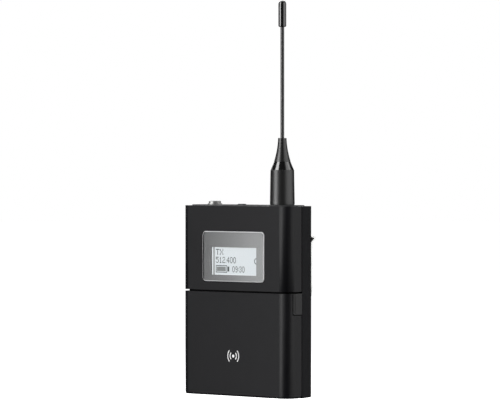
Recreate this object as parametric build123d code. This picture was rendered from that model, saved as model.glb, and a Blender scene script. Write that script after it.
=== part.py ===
from build123d import *
import math
import os

# Wireless bodypack transmitter, millimetres.
# X runs to the right seen from the front, Y to the rear, Z up from the bottom face.
# Y = 0 is the plane of the antenna and jack axes, where the two half shells meet.

# ---- Body ----
WIDTH = 63.5
HEIGHT = 80.4
FRONT_Y = -9.0
REAR_Y = 11.0
REAR_HALF_WIDTH = 27.2
FRONT_CORNER_R = 4.6
REAR_CORNER_R = 3.0
REAR_BOTTOM_R = 2.5
REAR_TOP_R = 0.8
BOTTOM_EDGE_R = 0.8
WALL = 1.6
SHELL_SEAM = 0.25
POST_R = 2.2
REAR_POST_R = 2.4
TAPER = (WIDTH / 2 - REAR_HALF_WIDTH) / REAR_Y
SLANT = math.hypot(1.0, TAPER)

# ---- Door and its hinge ----
DOOR_TOP = 43.9
FRONT_SHELL_BOTTOM = 44.65
DOOR_WALL = 1.5
DOOR_REAR_Y = -0.2
PAD_HALF = 20.0
PAD_THICK = 0.7
PAD_TALL = 3.0
HINGE_Y = -2.1
HINGE_Z = 1.9
KNUCKLE_R = 1.9
HINGE_PIN_R = 0.6
HINGE_RUNNING_GAP = 0.05
DOOR_KNUCKLES = (7.3, 21.2)
HINGE_GAP = 0.35
FIXED_KNUCKLES = ((-7.0, 7.0), (21.5, 29.8), (-29.8, -21.5))
HINGE_PIN_HALF = 29.4
KNUCKLE_ROOT_Y = 1.6
KNUCKLE_ROOT_Z = 3.2
KNUCKLE_ARM = 2.6
KNUCKLE_ARM_Z = 0.2

# ---- Latches ----
LATCH_BOTTOM = 35.1
LATCH_FRONT_Y = -5.1
LATCH_REAR_Y = 0.05
LATCH_THICK = 1.4
LATCH_GAP = 0.35
LATCH_CORNER_R = 0.7
LATCH_GROOVE = (0.2, 0.22)
LATCH_GROOVE_Y = 0.9
LATCH_GROOVE_FOOT = 0.6
LATCH_RELIEF = 0.55
LATCH_NOSE_Y = (-4.2, -3.2)
LATCH_NOSE_Z = (37.5, 41.5)
LATCH_NOSE = 0.6

# ---- Top plate and what stands on it ----
PLATE_INSET = 2.6
PLATE_SEAM = 0.1
PLATE_BOTTOM = 78.0
PLATE_TOP = 80.8
PLATE_EDGE = 0.5
JACK_X = -20.22
ANTENNA_X = 20.22
JACK_BORE_R = 1.8
JACK_COLLAR_R = 2.6
JACK_FLANGE_R = 3.07
JACK_FLANGE_THICK = 0.4
JACK_TOP = 82.3
JACK_CHAMFER = 0.25
JACK_BORE_BOTTOM = 66.5
JACK_BODY_HALF = (3.6, 3.4)
JACK_BODY_Z = (64.5, 77.6)
JACK_NOZZLE_R = 2.4
JACK_TAIL_Z = (66.0, 70.0, 74.0)
JACK_TAIL = (1.0, 0.4)
MUTE_X = -2.3
MUTE_Y = -1.5
MUTE_TRAVEL = 2.0
MUTE_CAP = (3.9, 2.5)
MUTE_CAP_CORNER = 0.9
MUTE_CAP_EDGE = 0.5
MUTE_FLOOR = 80.2
MUTE_LIFT = 0.25
MUTE_TOP = 81.2
MUTE_DISH_HALF = (4.6, 2.1)
MUTE_DISH_R = 1.8
MUTE_STEM_HALF = (1.0, 0.55)
MUTE_STEM_FOOT = 77.2
MUTE_SLOT_MARGIN = (1.4, 0.9)
MUTE_SWITCH_HALF = (4.0, 2.0)
MUTE_SWITCH_Z = (73.4, 77.8)
MUTE_CHANNEL_Z = 76.8
LENSES = {"link_lens": 5.4, "data_lens": 8.9}
LENS_R = 0.75
LENS_PROUD = 0.1
LENS_FOOT_Z = (74.0, 75.2)

# ---- Antenna ----
BARREL_R = (5.22, 4.97)
BARREL_Z = (81.1, 95.6)
BARREL_RIM_R = 0.15
SEAL_STEP = 0.2
RING_R = (4.88, 3.42)
RING_TOP = 99.1
BOOT_PROFILE = ((3.5, 99.1), (2.32, 103.9), (1.76, 109.0))
WHIP_R = 0.8
WHIP_Z = (97.0, 164.0)
TIP_R = 1.65
TIP_Z = (155.65, 166.8)
TIP_DOME_R = 1.6
TIP_FOOT_R = 0.5
STUD_R = 1.5
STUD_Z = (74.5, 84.7)
NUT_R = 3.4
NUT_THICK = 1.7
LEAD_HALF = 1.0
LEAD_Z = (74.8, 75.1)

# ---- Display window ----
WINDOW_HALF = 18.6
WINDOW_Z = (48.2, 69.7)
WINDOW_R = 2.0
WINDOW_PROUD = 0.2
WINDOW_FIT = 0.1
WINDOW_LIP = 1.0
PANE_THICK = 0.5
PANE_BEVEL = 0.35
MASK_THICK = 0.2
APERTURE_HALF = 13.4
APERTURE_Z = (51.15, 62.85)
DISPLAY_HALF = 15.2
DISPLAY_Y = (-8.4, -6.3)
DISPLAY_Z = (49.6, 64.4)
FRAME_HALF = 17.0
FRAME_Y = (-7.4, -5.3)
FRAME_Z = (48.6, 66.0)
FLEX_HALF = 8.0
FLEX_Y = (-6.9, -6.7)
FLEX_Z = (47.2, 47.4)
FLEX_SLOT = 0.5

# ---- Batteries ----
CELL_R = 7.25
CELL_LENGTH = 50.5
CELL_NUB = (2.75, 1.0)
CELL_EDGE_R = 0.5
CELL_Y = 0.9
CELL_Z = (10.9, 25.75)
TRAY_INSET = (1.95, 2.7)
TRAY_Z = (2.4, 34.3)
TRAY_INNER_Z = (3.5, 33.4)
TRAY_FRONT_Y = -5.5
TRAY_FOOT_GAP = 0.4
SPRING_R = 2.6
SPRING_WIRE_R = 0.25
SPRING_TURNS = 2
SPRING_SLACK = 0.02
CONTACT_X = 27.2
CONTACT_THICK = 0.25
CONTACT_Y = (-3.1, 2.2)
CONTACT_MARGIN = 4.0
CONTACT_DOME_R = (1.6, 2.4)

# ---- Control panel ----
PANEL_Y = (-5.6, -4.4)
PANEL_HALF = 28.4
PANEL_Z = (34.4, 43.6)
LEDGE_Z = (44.0, 46.6)
LEDGE_INSET = 1.85
LEDGE_CORNER_R = 2.5
BUTTON_FRONT_Y = -6.5
BUTTON_GAP = 0.25
BUTTON_Z = 39.2
FLANGE_Y = (-4.3, -3.7)
FLANGE_LIP = 0.6
BUTTON_EDGE_R = 0.4
ROUND_BUTTON_R = 2.1
BAR_BUTTON = (4.4, 3.6)
BAR_BUTTON_R = 0.9
BUTTON_HOLE_Y = (-9.0, -3.0)
ROUND_BUTTONS = {"power_button": -15.0, "sync_button": 15.0}
BAR_BUTTONS = {"down_button": -6.4, "up_button": 0.0, "set_button": 6.4}

# ---- Key board ----
SWITCH_HALF = 2.6
SWITCH_Y = (-2.9, -1.9)
SWITCH_DOME = (1.2, 0.3)
KEY_BOARD_HALF = 19.5
KEY_BOARD_Y = (-1.9, -1.1)
KEY_BOARD_Z = (35.4, 43.2)

# ---- Main board: each part is its X limits, height over the board and Z limits ----
BOARD_Y = (4.2, 5.2)
BOARD_HALF = 25.4
BOARD_Z = (35.6, 76.0)
FRONT_CHIPS = (
    ((-12.0, -4.0), 1.2, (62.0, 70.0)),
    ((3.0, 9.0), 1.0, (60.0, 66.0)),
    ((-16.0, -10.0), 1.8, (52.0, 58.0)),
)
REAR_CHIPS = (
    ((-18.0, -6.0), 1.4, (44.0, 56.0)),
    ((-16.0, -8.0), 1.0, (60.0, 66.0)),
)
FILTERS = (5, -2.0, 3.2)
FILTER_SIZE = (1.6, 0.8)
FILTER_Z = (54.0, 56.4)
SHIELD_X = (0.0, 19.0)
SHIELD_Z = (46.0, 72.0)
SHIELD_TALL = 2.6
SHIELD_WALL = 0.3
SCREWS = ((-24.0, 38.5), (24.0, 38.5), (-24.0, 57.0), (24.0, 57.0))
SCREW_SHANK_R = 0.9
SCREW_HEAD_R = 1.8
SCREW_HEAD_Y = (8.7, 9.9)
SCREW_TIP_Y = -3.0
SCREW_BOARD_GAP = 0.3
SCREW_SHANK_GAP = 0.1
SCREW_HEAD_GAP = 0.15
SCREW_DRIVE_R = 0.95
SCREW_DRIVE_DEEP = 0.8

# ---- Belt clip ----
RECESS_Y = 10.2
RECESS_Z = (24.0, 67.8)
RECESS_DRAFT = 0.3
CLIP_HALF = 22.0
CLIP_ARM = 5.0
CLIP_THICK = 0.8
CLIP_BEND_Z = 47.0
CLIP_AXIS_Y = 12.4
CLIP_AXIS_Z = 66.0
CLIP_EYE_R = 1.7
CLIP_PIN_R = 0.8
CLIP_RUNNING_GAP = 0.06
CLIP_PLANE_Y = 15.8
CLIP_TOP_Z = CLIP_AXIS_Z + CLIP_EYE_R - CLIP_THICK / 2
CLIP_BENDS = (
    (CLIP_AXIS_Y, CLIP_TOP_Z),
    (15.9, CLIP_TOP_Z + 0.3),
    (18.35, 66.9),
    (CLIP_PLANE_Y, 64.6),
    (CLIP_PLANE_Y, 33.0),
    (14.1, 28.4),
    (15.6, 24.5),
)
CLIP_BEND_R = (0.9, 0.45, 1.6, 2.4, 2.0)
CLIP_EYE_STEP = 0.3
CLIP_EYE_OVERLAP = 0.1
CLIP_NOTCH = 2.2
CLIP_PIN_END = 0.4
BRACKET_HALF = 16.7
BRACKET_EAR = 2.5
BRACKET_THICK = 0.8
BRACKET_Z = (62.6, 67.6)
LABEL_HALF = 12.0
LABEL_THICK = 0.12
LABEL_Z = (34.0, 56.0)

# ---- Cutting allowances: how far a cutting tool runs past what it cuts ----
PAST = 1.0
FAR = 40.0


def block(x, y, z):
    """A box between (low, high) limits on each axis."""
    size = [high - low for low, high in (x, y, z)]
    centre = [(high + low) / 2 for low, high in (x, y, z)]
    return Pos(*centre) * Box(*size)


def upright(centre, z, radius, top_radius=None):
    """A rod or cone along Z through the (x, y) centre."""
    height = z[1] - z[0]
    place = Pos(centre[0], centre[1], (z[0] + z[1]) / 2)
    if top_radius is None:
        return place * Cylinder(radius, height)
    return place * Cone(radius, top_radius, height)


def crosswise(centre, x, radius, end_radius=None):
    """A rod or cone along X through the (y, z) centre."""
    length = x[1] - x[0]
    place = Pos((x[0] + x[1]) / 2, centre[0], centre[1]) * Rot(0, 90, 0)
    if end_radius is None:
        return place * Cylinder(radius, length)
    return place * Cone(radius, end_radius, length)


def rearward(centre, y, radius, end_radius=None):
    """A rod or cone along Y through the (x, z) centre."""
    length = y[1] - y[0]
    place = Pos(centre[0], (y[0] + y[1]) / 2, centre[1]) * Rot(-90, 0, 0)
    if end_radius is None:
        return place * Cylinder(radius, length)
    return place * Cone(radius, end_radius, length)


def rounded_panel(half, y, z, radius):
    """A plate facing the front, with its four corners rounded."""
    plate = block((-half, half), y, z)
    return fillet(plate.edges().filter_by(Axis.Y), radius)


def front_prism(inset, z, corner_r):
    """The front half of the body outline, moved inwards by inset."""
    half = WIDTH / 2 - inset
    prism = block((-half, half), (FRONT_Y + inset, 0), z)
    corners = prism.edges().filter_by(Axis.Z).group_by(Axis.Y)[0]
    return fillet(corners, corner_r)


def rear_prism(inset, z):
    """The tapered rear half of the body outline, moved inwards by inset."""
    near = WIDTH / 2 - inset * SLANT
    far_y = REAR_Y - inset
    far = near - TAPER * far_y
    outline = Polyline((-near, 0), (near, 0), (far, far_y), (-far, far_y), close=True)
    prism = extrude(make_face(outline), amount=z[1] - z[0], dir=(0, 0, 1))
    return Pos(0, 0, z[0]) * prism


def body_prism(inset, z, corner_r=None):
    """The whole body outline, moved inwards by inset."""
    if corner_r is None:
        corner_r = FRONT_CORNER_R - inset
    return front_prism(inset, z, corner_r) + rear_prism(inset, z)


def front_solid():
    """The front half of the body, with its bottom edge rounded."""
    solid = front_prism(0, (0, HEIGHT), FRONT_CORNER_R)
    rim = solid.edges().group_by(Axis.Z)[0].sort_by(Axis.Y)[:-1]
    return fillet(rim, BOTTOM_EDGE_R)


def rear_solid():
    """The rear half of the body, with rounded rear edges and the clip's recess."""
    solid = rear_prism(0, (0, HEIGHT))
    solid = fillet(solid.edges().filter_by(Axis.Z).group_by(Axis.Y)[-1], REAR_CORNER_R)
    slab = block((-WIDTH, WIDTH), (-PAST, REAR_Y), (0, HEIGHT))
    rear_edges = slab.edges().filter_by(Axis.X).group_by(Axis.Y)[-1].sort_by(Axis.Z)
    slab = fillet(rear_edges[0], REAR_BOTTOM_R)
    rear_top = slab.edges().filter_by(Axis.X).group_by(Axis.Z)[-1].sort_by(Axis.Y)[-1]
    solid &= fillet(rear_top, REAR_TOP_R)
    slope = REAR_Y - RECESS_Y
    profile = Polyline(
        (RECESS_Y, RECESS_Z[0] + 4 * slope),
        (RECESS_Y, RECESS_Z[1]),
        (REAR_Y + PAST, RECESS_Z[1] + RECESS_DRAFT),
        (REAR_Y + PAST, RECESS_Z[0] - slope),
        close=True,
    )
    cut = extrude(Plane.YZ * make_face(profile), amount=WIDTH / 2, both=True)
    return solid - cut


def window_pocket():
    """The stepped opening that the pane and its mask drop into."""
    pane_back = FRONT_Y - WINDOW_PROUD + PANE_THICK + MASK_THICK
    outer = rounded_panel(WINDOW_HALF, (FRONT_Y - PAST, pane_back), WINDOW_Z, WINDOW_R)
    inner_z = (WINDOW_Z[0] + WINDOW_LIP, WINDOW_Z[1] - WINDOW_LIP)
    inner = rounded_panel(WINDOW_HALF - WINDOW_LIP, (FRONT_Y, FRONT_Y + 2 * WALL), inner_z, WINDOW_R)
    return outer + inner


def make_front_shell():
    """The upper front cover: front wall, sides and the front of the top."""
    upper = block((-WIDTH, WIDTH), (FRONT_Y - PAST, -SHELL_SEAM), (FRONT_SHELL_BOTTOM, HEIGHT))
    shell = front_solid() & upper
    shell -= body_prism(WALL, (0, HEIGHT - WALL))
    shell -= body_prism(PLATE_INSET - PLATE_SEAM, (PLATE_BOTTOM, HEIGHT + PAST))
    shell -= window_pocket()
    for x, z in SCREWS[2:]:
        post = rearward((x, z), (FRONT_Y + WALL, BOARD_Y[0]), POST_R)
        shell += post - rearward((x, z), (SCREW_TIP_Y, BOARD_Y[1]), SCREW_SHANK_R)
    return shell


def hinge_rod(radius):
    """A rod along the hinge, as long as its pin."""
    return crosswise((HINGE_Y, HINGE_Z), (-HINGE_PIN_HALF, HINGE_PIN_HALF), radius)


def make_rear_shell():
    """The rear cover, full height, with the fixed hinge knuckles at its foot."""
    half = block((-WIDTH, WIDTH), (SHELL_SEAM, REAR_Y + PAST), (-PAST, HEIGHT + PAST))
    shell = (rear_solid() & half) - body_prism(WALL, (WALL, HEIGHT - WALL))
    shell -= body_prism(PLATE_INSET - PLATE_SEAM, (PLATE_BOTTOM, HEIGHT + PAST))
    for x, z in SCREWS:
        shell += rearward((x, z), (BOARD_Y[1], REAR_Y - WALL), REAR_POST_R)
    for x, z in SCREWS:
        shell -= rearward((x, z), (BOARD_Y[1] - PAST, REAR_Y), SCREW_SHANK_R + SCREW_SHANK_GAP)
        shell -= rearward((x, z), (SCREW_HEAD_Y[0], REAR_Y), SCREW_HEAD_R + SCREW_HEAD_GAP)
    for span in FIXED_KNUCKLES:
        lug = crosswise((HINGE_Y, HINGE_Z), span, KNUCKLE_R)
        lug += block(span, (HINGE_Y, KNUCKLE_ROOT_Y), (0, KNUCKLE_ROOT_Z))
        shell += lug
    return shell - hinge_rod(HINGE_PIN_R)


def mute_block(half, z):
    """A box centred on the mute slider, from its half sizes in X and Y."""
    return block((MUTE_X - half[0], MUTE_X + half[0]), (MUTE_Y - half[1], MUTE_Y + half[1]), z)


def mute_slot_half():
    """Half sizes of the slot that the mute slider's stem runs in."""
    return MUTE_TRAVEL / 2 + MUTE_SLOT_MARGIN[0], MUTE_SLOT_MARGIN[1]


def make_top_plate():
    """The raised plate that carries the jack, the mute slider and the antenna."""
    plate = body_prism(PLATE_INSET, (PLATE_BOTTOM, PLATE_TOP))
    plate = chamfer(plate.edges().group_by(Axis.Z)[-1], PLATE_EDGE)
    dish = mute_block(MUTE_DISH_HALF, (MUTE_FLOOR, PLATE_TOP + PAST))
    plate -= fillet(dish.edges().filter_by(Axis.Z), MUTE_DISH_R)
    plate -= mute_block(mute_slot_half(), (PLATE_BOTTOM, PLATE_TOP))
    plate -= upright((JACK_X, 0), (PLATE_BOTTOM, PLATE_TOP), JACK_NOZZLE_R)
    plate -= upright((ANTENNA_X, 0), (PLATE_BOTTOM, PLATE_TOP), STUD_R)
    for x in LENSES.values():
        plate -= upright((x, MUTE_Y), (PLATE_BOTTOM, PLATE_TOP), LENS_R)
    return plate


def make_lens(x):
    """A light pipe from the board edge to the top plate."""
    pipe = upright((x, MUTE_Y), (LENS_FOOT_Z[1], PLATE_TOP + LENS_PROUD), LENS_R)
    foot = block((x - LENS_R, x + LENS_R), (MUTE_Y, BOARD_Y[0]), LENS_FOOT_Z)
    return pipe + foot


def make_battery_door():
    """The lower front cover, hinged along its foot."""
    door = front_solid() & block((-WIDTH, WIDTH), (FRONT_Y - PAST, DOOR_REAR_Y), (-PAST, DOOR_TOP))
    inside = front_prism(DOOR_WALL, (DOOR_WALL, HEIGHT), FRONT_CORNER_R - DOOR_WALL)
    door -= inside
    notch_z = (LATCH_BOTTOM - LATCH_GAP, HEIGHT)
    notch = block((-WIDTH, WIDTH), (LATCH_FRONT_Y - LATCH_GAP, PAST), notch_z)
    front_low = notch.edges().filter_by(Axis.X).group_by(Axis.Z)[0].sort_by(Axis.Y)[0]
    door -= fillet(front_low, LATCH_CORNER_R)
    heel = block((-WIDTH, WIDTH), (HINGE_Y, PAST), (-PAST, HINGE_Z))
    door -= heel - crosswise((HINGE_Y, HINGE_Z), (-WIDTH, WIDTH), KNUCKLE_R)
    near, far = DOOR_KNUCKLES
    reach = KNUCKLE_R + HINGE_GAP
    inner_half = WIDTH / 2 - DOOR_WALL
    for span in ((-near, near), (far, inner_half), (-inner_half, -far)):
        door -= block(span, (HINGE_Y - reach, PAST), (-PAST, HINGE_Z + reach))
    for span in ((near, far), (-far, -near)):
        door -= block(span, (HINGE_Y, PAST), (-PAST, DOOR_WALL))
        knuckle = crosswise((HINGE_Y, HINGE_Z), span, KNUCKLE_R)
        knuckle += block(span, (HINGE_Y - KNUCKLE_ARM, HINGE_Y), (KNUCKLE_ARM_Z, HINGE_Z))
        door += knuckle
    return door - hinge_rod(HINGE_PIN_R + HINGE_RUNNING_GAP)


def make_door_pads():
    """Two foam strips inside the door that steady the cells."""
    back = FRONT_Y + DOOR_WALL
    pads = [
        block((-PAD_HALF, PAD_HALF), (back, back + PAD_THICK), (z - PAD_TALL / 2, z + PAD_TALL / 2))
        for z in CELL_Z
    ]
    return pads[0] + pads[1]


def make_latch():
    """The right-hand latch tongue, with a grip groove and a short nose."""
    outer = WIDTH / 2
    inner = outer - LATCH_THICK
    tongue = block((inner, outer), (LATCH_FRONT_Y, LATCH_REAR_Y), (LATCH_BOTTOM, DOOR_TOP))
    front_low = tongue.edges().filter_by(Axis.X).group_by(Axis.Z)[0].sort_by(Axis.Y)[0]
    tongue = fillet(front_low, LATCH_CORNER_R)
    groove_y = LATCH_FRONT_Y + LATCH_GROOVE_Y
    deep, wide = LATCH_GROOVE
    groove_z = (LATCH_BOTTOM + LATCH_GROOVE_FOOT, DOOR_TOP + PAST)
    tongue -= block((outer - deep, outer + PAST), (groove_y, groove_y + wide), groove_z)
    relief = Polyline(
        (outer, LATCH_REAR_Y),
        (inner, LATCH_REAR_Y - LATCH_RELIEF),
        (inner, PAST),
        (outer, PAST),
        close=True,
    )
    tongue -= extrude(make_face(relief), amount=HEIGHT, dir=(0, 0, 1))
    return tongue + block((inner - LATCH_NOSE, inner), LATCH_NOSE_Y, LATCH_NOSE_Z)


def make_tray():
    """The moulded tray that holds both cells."""
    outer, inner = TRAY_INSET
    tray = body_prism(outer, TRAY_Z) & block((-WIDTH, WIDTH), (TRAY_FRONT_Y, REAR_Y), (0, HEIGHT))
    tray -= body_prism(inner, TRAY_INNER_Z)
    foot = HINGE_Z + KNUCKLE_R + TRAY_FOOT_GAP
    return tray - block((-WIDTH, WIDTH), (TRAY_FRONT_Y - PAST, KNUCKLE_ROOT_Y + HINGE_GAP), (0, foot))


def make_cell(z, plus):
    """An AA cell along X, with its nub on the given side."""
    nub_r, nub = CELL_NUB
    half = CELL_LENGTH / 2
    can = crosswise((CELL_Y, z), (-half, half - nub), CELL_R)
    can = fillet(can.edges().filter_by(GeomType.CIRCLE), CELL_EDGE_R)
    cell = can + crosswise((CELL_Y, z), (half - nub, half), nub_r)
    return cell if plus > 0 else mirror(cell, about=Plane.YZ)


def make_contact(side):
    """The plate at one end of the tray, with a dome for the lower or upper nub."""
    half = CELL_LENGTH / 2
    inner, outer = CONTACT_X, CONTACT_X + CONTACT_THICK
    tall = (CELL_Z[0] - CONTACT_MARGIN, CELL_Z[1] + CONTACT_MARGIN)
    plate = block((inner, outer), CONTACT_Y, tall)
    z = CELL_Z[1] if side > 0 else CELL_Z[0]
    plate += crosswise((CELL_Y, z), (half, inner), *CONTACT_DOME_R)
    return plate if side > 0 else mirror(plate, about=Plane.YZ)


def make_spring(z, side):
    """The coil that presses on one cell's flat end."""
    half = CELL_LENGTH / 2
    rise = CONTACT_X - half - 2 * SPRING_WIRE_R - 2 * SPRING_SLACK
    path = Helix(pitch=rise / SPRING_TURNS, height=rise, radius=SPRING_R)
    wire = sweep(Plane(path @ 0, z_dir=path % 0) * Circle(SPRING_WIRE_R), path)
    spring = Pos(half + SPRING_WIRE_R + SPRING_SLACK, CELL_Y, z) * Rot(0, 90, 0) * wire
    return spring if side > 0 else mirror(spring, about=Plane.YZ)


def make_control_panel():
    """The panel behind the door that guides the keys and closes the seam above."""
    panel = block((-PANEL_HALF, PANEL_HALF), PANEL_Y, PANEL_Z)
    ledge = front_prism(LEDGE_INSET, LEDGE_Z, LEDGE_CORNER_R)
    inside_x = (PAST - PANEL_HALF, PANEL_HALF - PAST)
    ledge -= block(inside_x, (PANEL_Y[1], PAST), (LEDGE_Z[0] - PAST, LEDGE_Z[1] + PAST))
    neck = block((-PANEL_HALF, PANEL_HALF), PANEL_Y, (PANEL_Z[1], LEDGE_Z[0]))
    panel += ledge + neck
    for x, z in SCREWS[:2]:
        post = rearward((x, z), (PANEL_Y[1], BOARD_Y[0]), POST_R)
        panel += post - rearward((x, z), (SCREW_TIP_Y, BOARD_Y[1]), SCREW_SHANK_R)
    for x in ROUND_BUTTONS.values():
        panel -= rearward((x, BUTTON_Z), BUTTON_HOLE_Y, ROUND_BUTTON_R + BUTTON_GAP)
    for x in BAR_BUTTONS.values():
        panel -= bar_shape(x, BUTTON_HOLE_Y, BUTTON_GAP)
    return panel


def bar_shape(x, y, grow):
    """The outline of a bar key at x, grown by the given amount."""
    half_x, half_z = BAR_BUTTON[0] / 2 + grow, BAR_BUTTON[1] / 2 + grow
    bar = block((x - half_x, x + half_x), y, (BUTTON_Z - half_z, BUTTON_Z + half_z))
    return fillet(bar.edges().filter_by(Axis.Y), BAR_BUTTON_R + grow)


def make_round_button(x):
    """A round key: its cap in front of the panel and its flange behind."""
    cap = rearward((x, BUTTON_Z), (BUTTON_FRONT_Y, FLANGE_Y[0]), ROUND_BUTTON_R)
    cap = fillet(cap.edges().group_by(Axis.Y)[0], BUTTON_EDGE_R)
    return cap + rearward((x, BUTTON_Z), FLANGE_Y, ROUND_BUTTON_R + FLANGE_LIP)


def make_bar_button(x):
    """A bar key: its cap in front of the panel and its flange behind."""
    cap = bar_shape(x, (BUTTON_FRONT_Y, FLANGE_Y[0]), 0)
    cap = fillet(cap.edges().group_by(Axis.Y)[0], BUTTON_EDGE_R)
    return cap + bar_shape(x, FLANGE_Y, FLANGE_LIP)


def make_key_switches():
    """One small dome switch behind each key."""
    dome_r, dome_tall = SWITCH_DOME
    z = (BUTTON_Z - SWITCH_HALF, BUTTON_Z + SWITCH_HALF)
    switches = None
    for x in (*ROUND_BUTTONS.values(), *BAR_BUTTONS.values()):
        base = block((x - SWITCH_HALF, x + SWITCH_HALF), SWITCH_Y, z)
        base += rearward((x, BUTTON_Z), (SWITCH_Y[0] - dome_tall, SWITCH_Y[0]), dome_r)
        switches = base if switches is None else switches + base
    return switches


def make_key_board():
    """The small board that carries the key switches."""
    return block((-KEY_BOARD_HALF, KEY_BOARD_HALF), KEY_BOARD_Y, KEY_BOARD_Z)


def make_main_board():
    """The main board, drilled for the housing screws."""
    board = block((-BOARD_HALF, BOARD_HALF), BOARD_Y, BOARD_Z)
    for x, z in SCREWS:
        board -= rearward((x, z), (0, REAR_Y), SCREW_SHANK_R + SCREW_BOARD_GAP)
    return board


def make_board_parts():
    """Chips and filters on both faces of the main board."""
    front, rear = BOARD_Y
    count, first, pitch = FILTERS
    wide, tall = FILTER_SIZE
    shapes = [block(x, (front - high, front), z) for x, high, z in FRONT_CHIPS]
    shapes += [block(x, (rear, rear + high), z) for x, high, z in REAR_CHIPS]
    for step in range(count):
        x = first + pitch * step
        shapes.append(block((x, x + wide), (front - tall, front), FILTER_Z))
    chips = shapes[0]
    for shape in shapes[1:]:
        chips += shape
    return chips


def make_rf_shield():
    """The thin can over the radio section."""
    rear = BOARD_Y[1]
    can = block(SHIELD_X, (rear, rear + SHIELD_TALL), SHIELD_Z)
    inner_x = (SHIELD_X[0] + SHIELD_WALL, SHIELD_X[1] - SHIELD_WALL)
    inner_z = (SHIELD_Z[0] + SHIELD_WALL, SHIELD_Z[1] - SHIELD_WALL)
    return can - block(inner_x, (rear, rear + SHIELD_TALL - SHIELD_WALL), inner_z)


def make_display_panel():
    """The display glass behind the mask's aperture."""
    return block((-DISPLAY_HALF, DISPLAY_HALF), DISPLAY_Y, DISPLAY_Z)


def make_display_frame():
    """The holder around the display glass."""
    frame = block((-FRAME_HALF, FRAME_HALF), FRAME_Y, FRAME_Z)
    frame -= block((-DISPLAY_HALF, DISPLAY_HALF), DISPLAY_Y, DISPLAY_Z)
    slot_half = FLEX_HALF + FLEX_SLOT
    slot_y = (FRAME_Y[0] - PAST, FRAME_Y[1] + PAST)
    return frame - block((-slot_half, slot_half), slot_y, (FRAME_Z[0] - PAST, DISPLAY_Z[0]))


def make_display_flex():
    """The ribbon from the display's lower edge back to the main board."""
    ribbon = block((-FLEX_HALF, FLEX_HALF), (FLEX_Y[0], BOARD_Y[0]), FLEX_Z)
    return ribbon + block((-FLEX_HALF, FLEX_HALF), FLEX_Y, (FLEX_Z[0], DISPLAY_Z[0]))


def make_display_window():
    """The clear pane over the display, its front edge bevelled."""
    half = WINDOW_HALF - WINDOW_FIT
    z = (WINDOW_Z[0] + WINDOW_FIT, WINDOW_Z[1] - WINDOW_FIT)
    front = FRONT_Y - WINDOW_PROUD
    pane = rounded_panel(half, (front, front + PANE_THICK), z, WINDOW_R - WINDOW_FIT)
    return chamfer(pane.edges().group_by(Axis.Y)[0], PANE_BEVEL)


def make_window_mask():
    """The printed mask behind the pane, with the display's aperture."""
    half = WINDOW_HALF - WINDOW_FIT
    z = (WINDOW_Z[0] + WINDOW_FIT, WINDOW_Z[1] - WINDOW_FIT)
    near = FRONT_Y - WINDOW_PROUD + PANE_THICK
    mask = rounded_panel(half, (near, near + MASK_THICK), z, WINDOW_R - WINDOW_FIT)
    through = (near - PAST, near + MASK_THICK + PAST)
    return mask - block((-APERTURE_HALF, APERTURE_HALF), through, APERTURE_Z)


def make_jack_socket():
    """The microphone jack's moulded body, its bore open at the top."""
    half_x, half_y = JACK_BODY_HALF
    body = block((JACK_X - half_x, JACK_X + half_x), (-half_y, half_y), JACK_BODY_Z)
    body += upright((JACK_X, 0), (JACK_BODY_Z[1], PLATE_TOP), JACK_NOZZLE_R)
    return body - upright((JACK_X, 0), (JACK_BORE_BOTTOM, JACK_TOP + PAST), JACK_BORE_R)


def make_jack_collar():
    """The polished ring around the jack's mouth."""
    collar = upright((JACK_X, 0), (PLATE_TOP, JACK_TOP), JACK_COLLAR_R)
    collar = chamfer(collar.edges().group_by(Axis.Z)[-1], JACK_CHAMFER)
    collar += upright((JACK_X, 0), (PLATE_TOP, PLATE_TOP + JACK_FLANGE_THICK), JACK_FLANGE_R)
    return collar - upright((JACK_X, 0), (PLATE_TOP - PAST, JACK_TOP + PAST), JACK_BORE_R)


def make_jack_tails():
    """The jack's three solder tails, into the main board's face."""
    wide, thick = JACK_TAIL
    x = (JACK_X - wide / 2, JACK_X + wide / 2)
    tails = None
    for z in JACK_TAIL_Z:
        tail = block(x, (JACK_BODY_HALF[1], BOARD_Y[0]), (z, z + thick))
        tails = tail if tails is None else tails + tail
    return tails


def make_mute_slider():
    """The low mute knob and its stem through the plate."""
    base = MUTE_FLOOR + MUTE_LIFT
    cap = mute_block((MUTE_CAP[0] / 2, MUTE_CAP[1] / 2), (base, MUTE_TOP))
    cap = fillet(cap.edges().filter_by(Axis.Z), MUTE_CAP_CORNER)
    cap = fillet(cap.edges().group_by(Axis.Z)[-1], MUTE_CAP_EDGE)
    return cap + mute_block(MUTE_STEM_HALF, (MUTE_STEM_FOOT, base))


def make_mute_switch():
    """The slide switch under the plate, with a channel for the stem."""
    half_x, half_y = MUTE_SWITCH_HALF
    switch = block((MUTE_X - half_x, MUTE_X + half_x), (MUTE_Y - half_y, BOARD_Y[0]), MUTE_SWITCH_Z)
    return switch - mute_block(mute_slot_half(), (MUTE_CHANNEL_Z, MUTE_SWITCH_Z[1] + PAST))


def make_antenna_seal():
    """The rubber washer under the antenna's barrel."""
    seal = upright((ANTENNA_X, 0), (PLATE_TOP, BARREL_Z[0]), BARREL_R[0] - SEAL_STEP)
    return seal - upright((ANTENNA_X, 0), (PLATE_TOP - PAST, BARREL_Z[0] + PAST), STUD_R)


def make_antenna_barrel():
    """The antenna's straight lower sleeve, slightly drafted."""
    barrel = upright((ANTENNA_X, 0), BARREL_Z, *BARREL_R)
    barrel = fillet(barrel.edges().group_by(Axis.Z)[-1], BARREL_RIM_R)
    return barrel - upright((ANTENNA_X, 0), (PLATE_TOP, STUD_Z[1]), STUD_R)


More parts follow.
